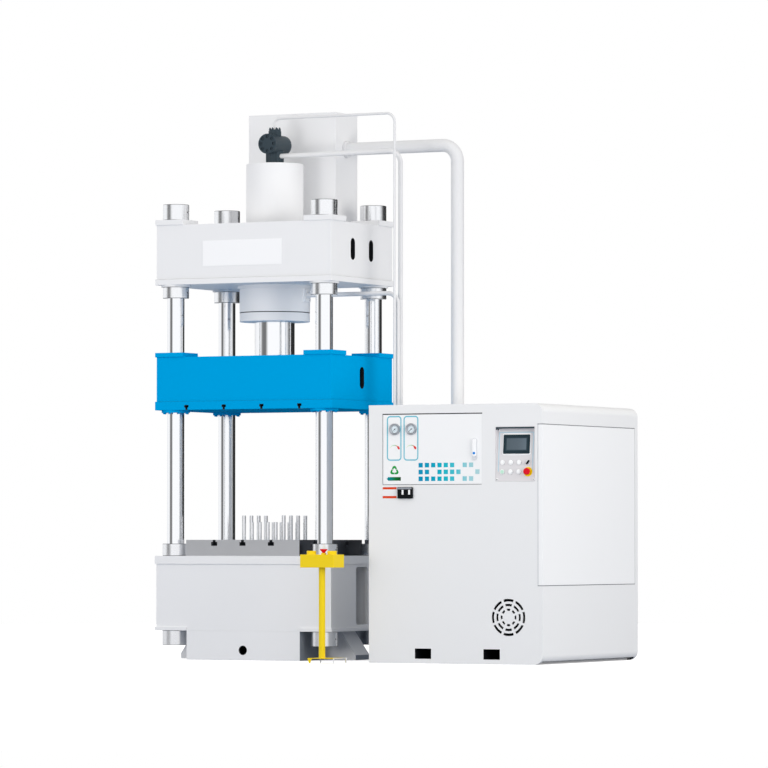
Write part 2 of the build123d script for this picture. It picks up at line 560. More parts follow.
with BuildPart() as prefill_valve:
    with Locations((0, 0, BARREL_TOP)):
        Cylinder(STEM_DIAMETER / 2 - 7, STEM_HEIGHT + 20, align=ON_FLOOR)
        with PolarLocations((STEM_DIAMETER - STEM_RIB) / 2, STEM_RIBS):
            Cylinder(STEM_RIB / 2, STEM_HEIGHT + 20, align=ON_FLOOR)
    with Locations(Location((0, DRUM_FRONT, DRUM_CENTRE), (-90, 0, 0))):
        Cylinder(DRUM_DIAMETER / 2, DRUM_BACK - DRUM_FRONT, align=ON_FLOOR)
    with Locations((0, 0, DRUM_CENTRE)):
        Cylinder(STUB_DIAMETER / 2 - 5, DRUM_DIAMETER / 2 + STUB_HEIGHT, align=ON_FLOOR)
    with Locations((0, 0, DRUM_CENTRE)):
        with PolarLocations(STUD_CIRCLE / 2, STUDS):
            Cylinder(STUD_DIAMETER / 2 + 2, DRUM_DIAMETER / 2 + STUB_HEIGHT - 10, align=ON_FLOOR)
    with Locations(Location((0, DRUM_FRONT, DRUM_CENTRE), (-90, 0, 0))):
        with PolarLocations(DRUM_BOLT_CIRCLE / 2, 8):
            Cylinder(DRUM_BOLT / 2, DRUM_BOLT_POCKET, align=ON_FLOOR, mode=Mode.SUBTRACT)
    with Locations(Location((0, DRUM_FRONT + DRUM_BOLT_POCKET - DRUM_BOLT_HEAD, DRUM_CENTRE), (-90, 0, 0))):
        with PolarLocations(DRUM_BOLT_CIRCLE / 2, 8):
            Cylinder(DRUM_BOLT / 2 - 4, DRUM_BOLT_HEAD, align=ON_FLOOR)
    with Locations((0, 0, STUB_TOP)):
        with PolarLocations(STUD_CIRCLE / 2, STUDS):
            Cone(STUD_DIAMETER / 2, 3, STUD_TIP, align=ON_FLOOR)
    # seats of the pilot pipe and the pressure pipe
    with Locations((0, 0, PILOT_SEAT)):
        Cylinder(PILOT_DIAMETER / 2, 60, align=ON_FLOOR, mode=Mode.SUBTRACT)
    with Locations(PRESSURE_AIM.location):
        Cylinder(PRESSURE_DIAMETER / 2, 60, align=ON_FLOOR, mode=Mode.SUBTRACT)
prefill_valve.part.label = "prefill_valve"
export_step(prefill_valve.part, "parts/prefill_valve.step")

# Suction line route, shared by the tank, its flange and the cabinet top
SUCTION_DIAMETER = 88.0
SUCTION_Y = TANK_FRONT + 154.0
SUCTION_Z = 3477.0
SUCTION_INSET = 131.0
SUCTION_X = CABINET_LEFT + SUCTION_INSET
SUCTION_BEND = 112.0
SUCTION_FLANGE = 118.0
SUCTION_FLANGE_THICKNESS = 20.0

# Overhead prefill tank
with BuildPart() as prefill_tank:
    with Locations((0, TANK_FRONT + TANK_DEPTH / 2, CROWN_DECK)):
        Box(TANK_WIDTH, TANK_DEPTH, TANK_HEIGHT, align=ON_FLOOR)
    with Locations((0, TANK_FRONT + TANK_DEPTH / 2, CROWN_DECK + TANK_WALL)):
        Box(TANK_WIDTH - 2 * TANK_WALL, TANK_DEPTH - 2 * TANK_WALL, TANK_HEIGHT - 2 * TANK_WALL,
            align=ON_FLOOR, mode=Mode.SUBTRACT)
    with Locations(Location((TANK_WIDTH / 2 - 20, SUCTION_Y, SUCTION_Z), (0, 90, 0))):
        Cylinder(SUCTION_DIAMETER / 2 - 8, 40, align=ON_FLOOR, mode=Mode.SUBTRACT)
    with Locations((-TANK_WIDTH / 4, TANK_FRONT + TANK_DEPTH / 2, CROWN_DECK + TANK_HEIGHT - 10)):
        Cylinder(30, 20, align=ON_FLOOR, mode=Mode.SUBTRACT)
    with Locations((-TANK_WIDTH / 4, TANK_FRONT + TANK_DEPTH / 2, CROWN_DECK + TANK_HEIGHT)):
        Cylinder(42, 6, align=ON_FLOOR)
        Cylinder(18, 7, align=ON_FLOOR, mode=Mode.SUBTRACT)
prefill_tank.part.label = "prefill_tank"
export_step(prefill_tank.part, "parts/prefill_tank.step")

# Rigid pipes from the press to the power unit
PILOT_X = CABINET_LEFT - 124.0
PILOT_TOP = 3670.0
PILOT_ENTRY = 1330.0
PRESSURE_ENTRY = 1180.0
RETURN_DIAMETER = 30.0
RETURN_ENTRY = 1030.0
PILOT_BENDS = (36.0, 62.0, 36.0)
PRESSURE_BENDS = (82.0, 55.0)
RETURN_BENDS = (75.0, 55.0)
ENTRY_DEPTH = 40.0

with BuildPart() as pipe_pilot:
    with BuildLine() as pilot_route:
        FilletPolyline(
            (0, 0, PILOT_SEAT), (0, 0, PILOT_TOP),
            (PILOT_X, PILOT_Y, PILOT_TOP), (PILOT_X, PILOT_Y, PILOT_ENTRY),
            (CABINET_LEFT + ENTRY_DEPTH, PILOT_Y, PILOT_ENTRY), radius=PILOT_BENDS)
    with BuildSketch(Plane(origin=pilot_route.line @ 0, z_dir=pilot_route.line % 0)):
        Circle(PILOT_DIAMETER / 2)
    sweep(path=pilot_route.line)
    with Locations(Location((CABINET_LEFT - 8, PILOT_Y, PILOT_ENTRY), (0, 90, 0))):
        Cylinder(PILOT_DIAMETER, 8, align=ON_FLOOR)
pipe_pilot.part.label = "pipe_pilot"
export_step(pipe_pilot.part, "parts/pipe_pilot.step")

with BuildPart() as pipe_pressure:
    with BuildLine() as pressure_route:
        FilletPolyline(
            PRESSURE_START, (PIPE_GAP_X, PRESSURE_Y, PRESSURE_Z),
            (PIPE_GAP_X, PRESSURE_Y, PRESSURE_ENTRY),
            (CABINET_LEFT + ENTRY_DEPTH, PRESSURE_Y, PRESSURE_ENTRY), radius=PRESSURE_BENDS)
    with BuildSketch(Plane(origin=pressure_route.line @ 0, z_dir=pressure_route.line % 0)):
        Circle(PRESSURE_DIAMETER / 2)
    sweep(path=pressure_route.line)
    with Locations(Location((CABINET_LEFT - 8, PRESSURE_Y, PRESSURE_ENTRY), (0, 90, 0))):
        Cylinder(PRESSURE_DIAMETER, 8, align=ON_FLOOR)
pipe_pressure.part.label = "pipe_pressure"
export_step(pipe_pressure.part, "parts/pipe_pressure.step")

with BuildPart() as pipe_return:
    with BuildLine() as return_route:
        FilletPolyline(
            (PORT_FACE, 0, PORT_CENTRE), (PIPE_GAP_X, 0, PORT_CENTRE), (PIPE_GAP_X, 0, RETURN_ENTRY),
            (CABINET_LEFT + ENTRY_DEPTH, 0, RETURN_ENTRY), radius=RETURN_BENDS)
    with BuildSketch(Plane(origin=return_route.line @ 0, z_dir=return_route.line % 0)):
        Circle(RETURN_DIAMETER / 2)
    sweep(path=return_route.line)
    with Locations(Location((PORT_FACE, 0, PORT_CENTRE), (0, 90, 0))):
        Cylinder(22, 9, align=ON_FLOOR)
    with Locations(Location((CABINET_LEFT - 8, 0, RETURN_ENTRY), (0, 90, 0))):
        Cylinder(RETURN_DIAMETER, 8, align=ON_FLOOR)
pipe_return.part.label = "pipe_return"
export_step(pipe_return.part, "parts/pipe_return.step")

with BuildPart() as pipe_suction:
    with BuildLine() as suction_route:
        FilletPolyline(
            (TANK_WIDTH / 2, SUCTION_Y, SUCTION_Z), (SUCTION_X, SUCTION_Y, SUCTION_Z),
            (SUCTION_X, SUCTION_Y, OIL_LID_TOP), radius=SUCTION_BEND)
    with BuildSketch(Plane(origin=suction_route.line @ 0, z_dir=suction_route.line % 0)):
        Circle(SUCTION_DIAMETER / 2)
    sweep(path=suction_route.line)
    with Locations(Location((TANK_WIDTH / 2, SUCTION_Y, SUCTION_Z), (0, 90, 0))):
        Cylinder(SUCTION_FLANGE / 2, SUCTION_FLANGE_THICKNESS, align=ON_FLOOR)
    with Locations((SUCTION_X, SUCTION_Y, CABINET_HEIGHT)):
        Cylinder(SUCTION_FLANGE / 2 + 6, 10, align=ON_FLOOR)
pipe_suction.part.label = "pipe_suction"
export_step(pipe_suction.part, "parts/pipe_suction.step")

# Cushion cylinder on the bed floor
PLATE_TOP = BASE_HEIGHT + BED_BODY - 27.0
PLATE_UNDER = PLATE_TOP - CUSHION_PLATE_THICKNESS
CUSHION_TOP = PLATE_UNDER - CUSHION_TRAVEL - 12.0
CUSHION_CAP = 30.0
CUSHION_PISTON = 60.0
CUSHION_OUTSIDE = CUSHION_BORE + 2 * CUSHION_WALL
CUSHION_FLANGE = 35.0
CUSHION_FLANGE_HEIGHT = 28.0
CUSHION_BOLTS = 8
CUSHION_BOLT = 24.0
CUSHION_BOLT_TOP = 40.0

with BuildPart() as cushion_cylinder:
    with Locations((0, 0, PLATE_WALL)):
        Cylinder(CUSHION_OUTSIDE / 2, CUSHION_TOP - PLATE_WALL, align=ON_FLOOR)
        Cylinder(CUSHION_OUTSIDE / 2 + CUSHION_FLANGE, CUSHION_FLANGE_HEIGHT, align=ON_FLOOR)
        with PolarLocations(CUSHION_OUTSIDE / 2 + CUSHION_FLANGE / 2, CUSHION_BOLTS):
            Cylinder(CUSHION_BOLT / 2, CUSHION_BOLT_TOP, align=ON_FLOOR)
    with Locations((0, 0, PLATE_WALL + CUSHION_CAP)):
        Cylinder(CUSHION_BORE / 2, CUSHION_TOP - PLATE_WALL - 2 * CUSHION_CAP, align=ON_FLOOR,
                 mode=Mode.SUBTRACT)
        Cylinder(CUSHION_ROD / 2 + RUNNING_FIT, CUSHION_TOP - PLATE_WALL, align=ON_FLOOR, mode=Mode.SUBTRACT)
cushion_cylinder.part.label = "cushion_cylinder"
export_step(cushion_cylinder.part, "parts/cushion_cylinder.step")

# Cushion ram, plate and pins, shown raised
CUSHION_PISTON_TOP = CUSHION_TOP - CUSHION_CAP - 10.0

with BuildPart() as cushion_ram:
    with Locations((0, 0, CUSHION_PISTON_TOP - CUSHION_PISTON)):
        Cylinder(CUSHION_BORE / 2 - RUNNING_FIT, CUSHION_PISTON, align=ON_FLOOR)
        Cylinder(CUSHION_ROD / 2, PLATE_UNDER - CUSHION_PISTON_TOP + CUSHION_PISTON, align=ON_FLOOR)
cushion_ram.part.label = "cushion_ram"
export_step(cushion_ram.part, "parts/cushion_ram.step")

with BuildPart() as cushion_plate:
    with Locations((0, 0, PLATE_UNDER)):
        Box(CUSHION_PLATE_WIDTH, CUSHION_PLATE_DEPTH, CUSHION_PLATE_THICKNESS, align=ON_FLOOR)
    chamfer(cushion_plate.edges().filter_by(Axis.Z), 12)
cushion_plate.part.label = "cushion_plate"
export_step(cushion_plate.part, "parts/cushion_plate.step")

with BuildPart() as cushion_pins:
    for x, y in PIN_SPOTS:
        reach = PIN_TALL if abs(x) > 2 * PIN_PITCH_X else PIN_SHORT
        with Locations((x, y, PLATE_TOP)):
            Cylinder(PIN_DIAMETER / 2, TABLE_TOP + reach - PLATE_TOP, align=ON_FLOOR)
cushion_pins.part.label = "cushion_pins"
export_step(cushion_pins.part, "parts/cushion_pins.step")

# Cabinet reference planes and faces
CABINET_RIGHT = CABINET_LEFT + CABINET_WIDTH
CABINET_BACK = CABINET_FRONT + CABINET_DEPTH
FRONT_PLANE = Plane(origin=(CABINET_LEFT, CABINET_FRONT, 0), x_dir=(1, 0, 0), z_dir=(0, -1, 0))
COVER_BOTTOM = 512.0
COVER_TOP = 1551.0
COVER_WRAP = 30.0
COVER_BACK = 52.0
COVER_SHEET = 4.0
COVER_GAP = 5.0
COVER_RIM = 60.0
DOOR_LIP = 20.0
DOOR_LIP_DEPTH = 24.0
RECESS_INSET = 8.0
RECESS_HEIGHT = 20.0
RECESS_SETBACK = 30.0
INSIDE_WIDTH = CABINET_WIDTH - 2 * CABINET_WALL - COVER_SHEET
INSIDE_DEPTH = CABINET_DEPTH - 2 * CABINET_WALL
SKID_WIDTH = CABINET_WIDTH - CABINET_WALL - CABINET_ROUND - RECESS_INSET
SKID_RAIL = 12.0
GRILLE_RIGHT_MARGIN = 244.0
GRILLE_X = CABINET_WIDTH - GRILLE_RIGHT_MARGIN
GRILLE_Z = 304.0
GRILLE_RINGS = ((120.5, 103.5), (88.5, 73.0), (57.0, 42.5))
GRILLE_SPOKE = 15.0
HINGE_X = CABINET_LEFT + DOOR_LEFT + DOOR_GAP + HINGE_SETBACK
HINGE_Y = CABINET_FRONT + HINGE_SETBACK

with BuildPart() as cabinet_shell:
    with BuildSketch(FRONT_PLANE) as shell_outline:
        Rectangle(CABINET_WIDTH, CABINET_HEIGHT, align=(Align.MIN, Align.MIN))
        fillet(shell_outline.vertices().sort_by(Axis.X)[-2:], CABINET_ROUND)
    extrude(amount=-CABINET_DEPTH)
    # hollow inside, then open underneath, where the skid stands
    with BuildSketch(FRONT_PLANE.offset(-CABINET_WALL)) as shell_inside:
        with Locations((CABINET_WALL, CABINET_WALL)):
            Rectangle(INSIDE_WIDTH, CABINET_HEIGHT - 2 * CABINET_WALL, align=(Align.MIN, Align.MIN))
        fillet(shell_inside.vertices().sort_by(Axis.X)[-2:], CABINET_ROUND - CABINET_WALL)
    extrude(amount=-INSIDE_DEPTH, mode=Mode.SUBTRACT)
    with Locations((CABINET_LEFT + CABINET_WALL, CABINET_FRONT + CABINET_WALL, -1)):
        Box(SKID_WIDTH, INSIDE_DEPTH, CABINET_WALL + 2, align=CORNER, mode=Mode.SUBTRACT)
    for centre in (FORK_LEFT, FORK_RIGHT):
        with Locations((CABINET_LEFT + centre, (CABINET_FRONT + CABINET_BACK) / 2, FORK_BOTTOM)):
            Box(FORK_WIDTH, CABINET_DEPTH + 2, FORK_HEIGHT, align=ON_FLOOR, mode=Mode.SUBTRACT)
    # door opening with a lip behind it
    with BuildSketch(FRONT_PLANE):
        with Locations((DOOR_LEFT, DOOR_BOTTOM)):
            Rectangle(DOOR_WIDTH, DOOR_HEIGHT, align=(Align.MIN, Align.MIN))
    extrude(amount=-CABINET_WALL, mode=Mode.SUBTRACT)
    with BuildSketch(FRONT_PLANE.offset(-DOOR_LIP_DEPTH)):
        with Locations((DOOR_LEFT - 8, DOOR_BOTTOM - 8)):
            Rectangle(DOOR_WIDTH + 16, DOOR_HEIGHT + 16, align=(Align.MIN, Align.MIN))
        with Locations((DOOR_LEFT + DOOR_LIP, DOOR_BOTTOM + DOOR_LIP)):
            Rectangle(DOOR_WIDTH - 2 * DOOR_LIP, DOOR_HEIGHT - 2 * DOOR_LIP, align=(Align.MIN, Align.MIN),
                      mode=Mode.SUBTRACT)
    extrude(amount=-4)
    with BuildSketch(FRONT_PLANE.offset(-CABINET_WALL)):
        with Locations((DOOR_LEFT - 8, DOOR_BOTTOM - 8)):
            Rectangle(DOOR_WIDTH + 16, DOOR_HEIGHT + 16, align=(Align.MIN, Align.MIN))
        with Locations((DOOR_LEFT, DOOR_BOTTOM)):
            Rectangle(DOOR_WIDTH, DOOR_HEIGHT, align=(Align.MIN, Align.MIN), mode=Mode.SUBTRACT)
    extrude(amount=-(DOOR_LIP_DEPTH - CABINET_WALL))
    with Locations((HINGE_X, HINGE_Y + 4, DOOR_BOTTOM - 30),
                   (HINGE_X, HINGE_Y + 4, DOOR_BOTTOM + DOOR_HEIGHT)):
        Box(32, 24, 30, align=ON_FLOOR)
    with Locations((HINGE_X, HINGE_Y, DOOR_BOTTOM - 20), (HINGE_X, HINGE_Y, DOOR_BOTTOM + DOOR_HEIGHT - 1)):
        Cylinder(HINGE_PIN / 2 + HINGE_FIT, 21, align=ON_FLOOR, mode=Mode.SUBTRACT)
    # control panel opening, fan grille and pipe entries
    with BuildSketch(FRONT_PLANE):
        with Locations((PANEL_LEFT, PANEL_BOTTOM)):
            Rectangle(PANEL_WIDTH, PANEL_HEIGHT, align=(Align.MIN, Align.MIN))
    extrude(amount=-CABINET_WALL, mode=Mode.SUBTRACT)
    with BuildSketch(FRONT_PLANE):
        with Locations((GRILLE_X, GRILLE_Z)):
            for outer, inner in GRILLE_RINGS:
                Circle(outer)
                Circle(inner, mode=Mode.SUBTRACT)
            for turn in range(4):
                Rectangle(300, GRILLE_SPOKE, rotation=22.5 + 45 * turn, mode=Mode.SUBTRACT)
    extrude(amount=-CABINET_WALL, mode=Mode.SUBTRACT)
    for y, z, d in ((PILOT_Y, PILOT_ENTRY, PILOT_DIAMETER), (PRESSURE_Y, PRESSURE_ENTRY, PRESSURE_DIAMETER),
                    (0, RETURN_ENTRY, RETURN_DIAMETER)):
        with Locations(Location((CABINET_LEFT - 1, y, z), (0, 90, 0))):
            Cylinder(d / 2 + 1, CABINET_WALL + 2, align=ON_FLOOR, mode=Mode.SUBTRACT)
    with Locations((SUCTION_X, SUCTION_Y, CABINET_HEIGHT - CABINET_WALL - 1)):
        Cylinder(SUCTION_DIAMETER / 2 + 1, CABINET_WALL + 2, align=ON_FLOOR, mode=Mode.SUBTRACT)
    # seat and opening for the side cover
    seat_depth = CABINET_DEPTH - COVER_BACK + COVER_GAP
    with Locations((CABINET_RIGHT - COVER_SHEET, CABINET_FRONT - 1, COVER_BOTTOM - COVER_GAP)):
        Box(COVER_SHEET + 1, seat_depth + 1, COVER_TOP - COVER_BOTTOM + 2 * COVER_GAP, align=CORNER,
            mode=Mode.SUBTRACT)
    with Locations((CABINET_RIGHT - COVER_WRAP - COVER_GAP, CABINET_FRONT - 1, COVER_BOTTOM - COVER_GAP)):
        Box(COVER_WRAP + COVER_GAP + 1, COVER_SHEET + 1, COVER_TOP - COVER_BOTTOM + 2 * COVER_GAP,
            align=CORNER, mode=Mode.SUBTRACT)
    with Locations((CABINET_RIGHT - 40, CABINET_FRONT + COVER_RIM, COVER_BOTTOM + COVER_RIM)):
        Box(41, seat_depth - 2 * COVER_RIM, COVER_TOP - COVER_BOTTOM - 2 * COVER_RIM, align=CORNER,
            mode=Mode.SUBTRACT)
    # dark recess under the right side
    with Locations((CABINET_RIGHT - CABINET_ROUND - RECESS_INSET, CABINET_FRONT + RECESS_SETBACK, -1)):
        Box(CABINET_ROUND + RECESS_INSET + 1, CABINET_DEPTH - 2 * RECESS_SETBACK, RECESS_HEIGHT + 1,
            align=CORNER, mode=Mode.SUBTRACT)
cabinet_shell.part.label = "cabinet_shell"
export_step(cabinet_shell.part, "parts/cabinet_shell.step")

# Skid inside the foot of the cabinet: a floor sheet on two fork tubes and two rails
SKID_FLOOR = CABINET_FLOOR - CABINET_WALL

with BuildPart() as cabinet_base:
    skid_left = CABINET_LEFT + CABINET_WALL
    skid_front = CABINET_FRONT + CABINET_WALL
    with Locations((skid_left, skid_front, SKID_FLOOR)):
        Box(INSIDE_WIDTH, INSIDE_DEPTH, CABINET_WALL, align=CORNER)
    with Locations((skid_left, skid_front, 0), (skid_left + SKID_WIDTH - SKID_RAIL, skid_front, 0)):
        Box(SKID_RAIL, INSIDE_DEPTH, SKID_FLOOR, align=CORNER)
    tube_centres = [(CABINET_LEFT + x, skid_front + INSIDE_DEPTH / 2) for x in (FORK_LEFT, FORK_RIGHT)]
    with Locations(*[(x, y, FORK_BOTTOM - FORK_TUBE_WALL) for x, y in tube_centres]):
        Box(FORK_WIDTH + 2 * FORK_TUBE_WALL, INSIDE_DEPTH, SKID_FLOOR - FORK_BOTTOM + FORK_TUBE_WALL,
            align=ON_FLOOR)
    with Locations(*[(x, y, FORK_BOTTOM) for x, y in tube_centres]):
        Box(FORK_WIDTH, INSIDE_DEPTH + 2, FORK_HEIGHT, align=ON_FLOOR, mode=Mode.SUBTRACT)
cabinet_base.part.label = "cabinet_base"
export_step(cabinet_base.part, "parts/cabinet_base.step")

# Lift-off side cover that wraps the front corner
with BuildPart() as side_cover:
    with BuildSketch(Plane.XY.offset(COVER_BOTTOM)):
        with Locations((CABINET_RIGHT - COVER_SHEET, CABINET_FRONT)):
            Rectangle(COVER_SHEET, CABINET_DEPTH - COVER_BACK, align=(Align.MIN, Align.MIN))
        with Locations((CABINET_RIGHT - COVER_WRAP, CABINET_FRONT)):
            Rectangle(COVER_WRAP, COVER_SHEET, align=(Align.MIN, Align.MIN))
    extrude(amount=COVER_TOP - COVER_BOTTOM)
side_cover.part.label = "side_cover"
export_step(side_cover.part, "parts/side_cover.step")

# Gauge door, its handle and its gauges
GAUGE_X = 192.0
GAUGE_PITCH = 121.0
GAUGE_Z = 1529.5
GAUGE_DIAMETER = 76.0
GAUGE_PROUD = 10.0
GAUGE_HOLE = 66.0
HANDLE_MARGIN = 53.0
HANDLE_X = DOOR_LEFT + DOOR_WIDTH - HANDLE_MARGIN
HANDLE_Z = 1369.0
HANDLE_WIDTH = 34.0
HANDLE_LENGTH = 146.0
HANDLE_CENTRE_Z = 1395.0
HANDLE_SHAFT = 12.0
PIN_REACH = 16.0

with BuildPart() as cabinet_door:
    door_x = DOOR_LEFT + DOOR_GAP
    door_z = DOOR_BOTTOM + DOOR_GAP
    door_w = DOOR_WIDTH - 2 * DOOR_GAP
    door_h = DOOR_HEIGHT - 2 * DOOR_GAP
    with BuildSketch(FRONT_PLANE) as door_outline:
        with Locations((door_x, door_z)):
            Rectangle(door_w, door_h, align=(Align.MIN, Align.MIN))
        fillet(door_outline.vertices(), 6)
    extrude(amount=-DOOR_RIM)
    with BuildSketch(FRONT_PLANE.offset(-DOOR_SHEET)):
        with Locations((door_x + DOOR_SHEET, door_z + DOOR_SHEET)):
            Rectangle(door_w - 2 * DOOR_SHEET, door_h - 2 * DOOR_SHEET, align=(Align.MIN, Align.MIN))
    extrude(amount=-DOOR_RIM, mode=Mode.SUBTRACT)
    leaf_left = CABINET_LEFT + door_x
    with Locations((leaf_left, CABINET_FRONT, door_z), (leaf_left, CABINET_FRONT, door_z + door_h - 20)):
        Box(18, DOOR_RIM, 20, align=CORNER)
    upright_edges = cabinet_door.edges().filter_by(Axis.Z)
    left_edges = upright_edges.filter_by_position(Axis.X, leaf_left - 0.1, leaf_left + 0.1)
    chamfer(left_edges.sort_by(Axis.Y)[0], 2)
    with Locations((HINGE_X, HINGE_Y, door_z - PIN_REACH), (HINGE_X, HINGE_Y, door_z + door_h)):
        Cylinder(HINGE_PIN / 2, PIN_REACH, align=ON_FLOOR)
    with BuildSketch(FRONT_PLANE):
        with Locations((GAUGE_X, GAUGE_Z), (GAUGE_X + GAUGE_PITCH, GAUGE_Z)):
            Circle(GAUGE_HOLE / 2)
        with Locations((HANDLE_X, HANDLE_Z)):
            Circle(HANDLE_SHAFT / 2 + RUNNING_FIT)
    extrude(amount=-DOOR_SHEET, mode=Mode.SUBTRACT)
cabinet_door.part.label = "cabinet_door"
export_step(cabinet_door.part, "parts/cabinet_door.step")

with BuildPart() as handle_plate:
    with BuildSketch(FRONT_PLANE):
        with Locations((HANDLE_X, HANDLE_CENTRE_Z)):
            SlotOverall(HANDLE_LENGTH, HANDLE_WIDTH, rotation=90)
        with Locations((HANDLE_X, HANDLE_Z)):
            Circle(HANDLE_SHAFT / 2 + RUNNING_FIT, mode=Mode.SUBTRACT)
    extrude(amount=5)
handle_plate.part.label = "handle_plate"
export_step(handle_plate.part, "parts/handle_plate.step")

# Swing handle with shaft and latch tongue, released when the handle is upright
LEVER_GAP = 5.4
LEVER_THICKNESS = 8.0
LEVER_SIZE = (116.0, 24.0)
LEVER_RISE = 36.0
LEVER_BOSS = 14.0
LEVER_BOSS_HEIGHT = 1.5
SHAFT_REACH = 40.0
TONGUE_DEPTH = 29.5
TONGUE_SIZE = (18.0, 68.0)
TONGUE_DROP = 24.0
TONGUE_SHEET = 4.0

with BuildPart() as door_handle:
    with BuildSketch(FRONT_PLANE.offset(LEVER_GAP)):
        with Locations((HANDLE_X, HANDLE_Z + LEVER_RISE)):
            SlotOverall(*LEVER_SIZE, rotation=90)
    extrude(amount=LEVER_THICKNESS)
    with BuildSketch(FRONT_PLANE.offset(LEVER_GAP + LEVER_THICKNESS)):
        with Locations((HANDLE_X, HANDLE_Z)):
            Circle(LEVER_BOSS / 2)
    extrude(amount=LEVER_BOSS_HEIGHT)
    with BuildSketch(FRONT_PLANE.offset(LEVER_GAP)):
        with Locations((HANDLE_X, HANDLE_Z)):
            Circle(HANDLE_SHAFT / 2)
    extrude(amount=-SHAFT_REACH)
    with BuildSketch(FRONT_PLANE.offset(-TONGUE_DEPTH)):
        with Locations((HANDLE_X, HANDLE_Z - TONGUE_DROP)):
            Rectangle(*TONGUE_SIZE)
    extrude(amount=-TONGUE_SHEET)
door_handle.part.label = "door_handle"
export_step(door_handle.part, "parts/door_handle.step")

with BuildPart() as gauge_cases:
    for step in (0, 1):
        centre = (GAUGE_X + step * GAUGE_PITCH, GAUGE_Z)
        with BuildSketch(FRONT_PLANE):
            with Locations(centre):
                Circle(GAUGE_DIAMETER / 2)
        extrude(amount=GAUGE_PROUD)
        with BuildSketch(FRONT_PLANE):
            with Locations(centre):
                Circle(GAUGE_HOLE / 2 - 0.5)
        extrude(amount=-32)
        with BuildSketch(FRONT_PLANE.offset(3)):
            with Locations(centre):
                Circle(GAUGE_DIAMETER / 2 - 4)
        extrude(amount=GAUGE_PROUD, mode=Mode.SUBTRACT)
        with BuildSketch(FRONT_PLANE.offset(-2)):
            with Locations(centre):
                Circle(1.5 + RUNNING_FIT)
        extrude(amount=10, mode=Mode.SUBTRACT)
        with BuildSketch(FRONT_PLANE.offset(-32)):
            with Locations((centre[0], centre[1])):
                Circle(9)
        extrude(amount=-24)
gauge_cases.part.label = "gauge_cases"
export_step(gauge_cases.part, "parts/gauge_cases.step")

with BuildPart() as gauge_glasses:
    with BuildSketch(FRONT_PLANE.offset(7.5)):
        with Locations((GAUGE_X, GAUGE_Z), (GAUGE_X + GAUGE_PITCH, GAUGE_Z)):
            Circle(GAUGE_DIAMETER / 2 - 4)
    extrude(amount=1.5)
gauge_glasses.part.label = "gauge_glasses"
export_step(gauge_glasses.part, "parts/gauge_glasses.step")

NEEDLE_REST = 225.0

with BuildPart() as gauge_needle_left:
    with BuildSketch(FRONT_PLANE.offset(4.2)):
        with Locations((GAUGE_X, GAUGE_Z)):
            Circle(4)
            Rectangle(26, 2.4, align=(Align.MIN, Align.CENTER), rotation=NEEDLE_REST)
            Rectangle(9, 3.2, align=(Align.MIN, Align.CENTER), rotation=NEEDLE_REST - 180)
    extrude(amount=1.4)
    with BuildSketch(FRONT_PLANE.offset(-1.5)):
        with Locations((GAUGE_X, GAUGE_Z)):
            Circle(1.5)
    extrude(amount=6)
gauge_needle_left.part.label = "gauge_needle_left"
export_step(gauge_needle_left.part, "parts/gauge_needle_left.step")

with BuildPart() as gauge_needle_right:
    with BuildSketch(FRONT_PLANE.offset(4.2)):
        with Locations((GAUGE_X + GAUGE_PITCH, GAUGE_Z)):
            Circle(4)
            Rectangle(26, 2.4, align=(Align.MIN, Align.CENTER), rotation=NEEDLE_REST)
            Rectangle(9, 3.2, align=(Align.MIN, Align.CENTER), rotation=NEEDLE_REST - 180)
    extrude(amount=1.4)
    with BuildSketch(FRONT_PLANE.offset(-1.5)):
        with Locations((GAUGE_X + GAUGE_PITCH, GAUGE_Z)):
            Circle(1.5)
    extrude(amount=6)
gauge_needle_right.part.label = "gauge_needle_right"
export_step(gauge_needle_right.part, "parts/gauge_needle_right.step")

# Inclined control panel in its recess
PANEL_LEAN = PANEL_RECESS - 2.0
PANEL_SLOPE = (PANEL_LEAN ** 2 + PANEL_HEIGHT ** 2) ** 0.5
PANEL_PLANE = Plane(
    origin=(CABINET_LEFT + PANEL_LEFT, CABINET_FRONT + 2, PANEL_BOTTOM), x_dir=(1, 0, 0),
    z_dir=(0, -PANEL_HEIGHT, PANEL_LEAN))
PANEL_CLEAR = 0.5
BUTTON_LEFT = 47.5
BUTTON_PITCH = 59.3
BUTTON_UPPER = 123.0
BUTTON_LOWER = 62.0
BUTTON_SPOTS = [(BUTTON_LEFT + BUTTON_PITCH * i, v) for v in (BUTTON_UPPER, BUTTON_LOWER) for i in range(3)]
SWITCH_STEP = 3 * BUTTON_PITCH + 6.6
SELECTOR_SPOT = (BUTTON_LEFT + SWITCH_STEP, BUTTON_UPPER)
STOP_SPOT = (BUTTON_LEFT + SWITCH_STEP, BUTTON_LOWER)
BUTTON_RING = 34.0
BUTTON_CAP = 24.0
BUTTON_FIT = 0.2
BUTTON_RING_HEIGHT = 3.0
STOP_DISC = 62.0
STOP_HEAD = 44.0
STOP_STEM = 16.0

